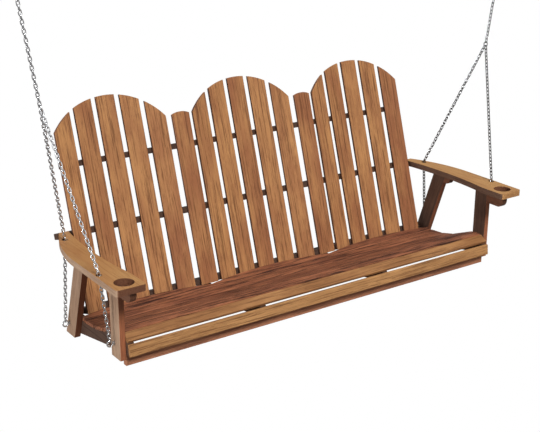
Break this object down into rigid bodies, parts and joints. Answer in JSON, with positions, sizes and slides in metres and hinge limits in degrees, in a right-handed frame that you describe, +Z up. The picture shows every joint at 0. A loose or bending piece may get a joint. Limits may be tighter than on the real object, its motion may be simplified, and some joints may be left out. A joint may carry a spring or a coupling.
{
  "type": "porch swing seat",
  "caption": "Hanging wooden porch bench with fan-topped slatted back, scooped slatted seat, wide arms with cup holes, and chains up to ceiling hooks.",
  "frame": {"origin": "on the swing axis, midway between the two ceiling hooks, at the middle of their wire", "axes": "+X along the seat, to the right as seen from the front; +Y to the back; +Z up"},
  "size_m": [2.3492, 0.7983, 1.5493],
  "materials": {
    "back_wood": "oiled, fine lengthwise grain",
    "seat_wood": "oiled, redder, with streaks and knots",
    "light_wood": "oiled, golden",
    "dark_wood": "oiled, shaded",
    "grey_wood": "sawn, slightly weathered",
    "zinc": "bright zinc plating"
  },
  "bodies": {
    "ceiling_hooks": {"ceiling_hook_left": "zinc", "ceiling_hook_right": "zinc"},
    "hangers": {"hanger_chain_left": "zinc", "hanger_chain_right": "zinc", "hanger_ring_left": "zinc", "hanger_ring_right": "zinc"},
    "seat": {"back_slat_01": "back_wood", "back_slat_02": "back_wood", "back_slat_03": "back_wood", "back_slat_04": "back_wood", "back_slat_05": "back_wood", "back_slat_06": "back_wood", "back_slat_07": "back_wood", "back_slat_08": "back_wood", "back_slat_09": "back_wood", "back_slat_10": "back_wood", "back_slat_11": "back_wood", "back_slat_12": "back_wood", "back_slat_13": "back_wood", "back_slat_14": "back_wood", "back_slat_15": "back_wood", "filler_slat_left": "back_wood", "filler_slat_right": "back_wood", "upper_back_rail": "dark_wood", "middle_back_rail": "dark_wood", "lower_back_rail": "dark_wood", "stringer_left_end": "dark_wood", "stringer_left_inner": "dark_wood", "stringer_right_inner": "dark_wood", "stringer_right_end": "dark_wood", "front_apron": "seat_wood", "front_bracket_left": "dark_wood", "front_bracket_right": "dark_wood", "rear_bracket_left": "dark_wood", "rear_bracket_right": "dark_wood", "seat_slat_rear": "seat_wood", "seat_slat_2": "seat_wood", "seat_slat_3": "seat_wood", "seat_slat_4": "seat_wood", "crest_slat_rear": "seat_wood", "crest_slat_front": "seat_wood", "nose_slat": "light_wood", "front_slat": "light_wood", "arm_left": "light_wood", "arm_right": "light_wood", "front_upright_left": "grey_wood", "front_upright_right": "grey_wood", "rear_upright_left": "grey_wood", "rear_upright_right": "grey_wood", "eye_bolts": "zinc", "eye_bolt_washers": "zinc", "eye_bolt_nuts": "zinc", "front_chain_left": "zinc", "front_chain_right": "zinc", "rear_chain_left": "zinc", "rear_chain_right": "zinc", "junction_ring_left": "zinc", "junction_ring_right": "zinc"}
  },
  "joints": [
    {"name": "hanger_swing", "type": "hinge", "parent": "ceiling_hooks", "child": "hangers", "pos_m": [0, 0, 0], "axis": [1, 0, 0], "range_deg": [-25, 25]},
    {"name": "seat_rock", "type": "hinge", "parent": "hangers", "child": "seat", "pos_m": [0, 0, -0.417], "axis": [1, 0, 0], "range_deg": [-12, 12]}
  ]
}
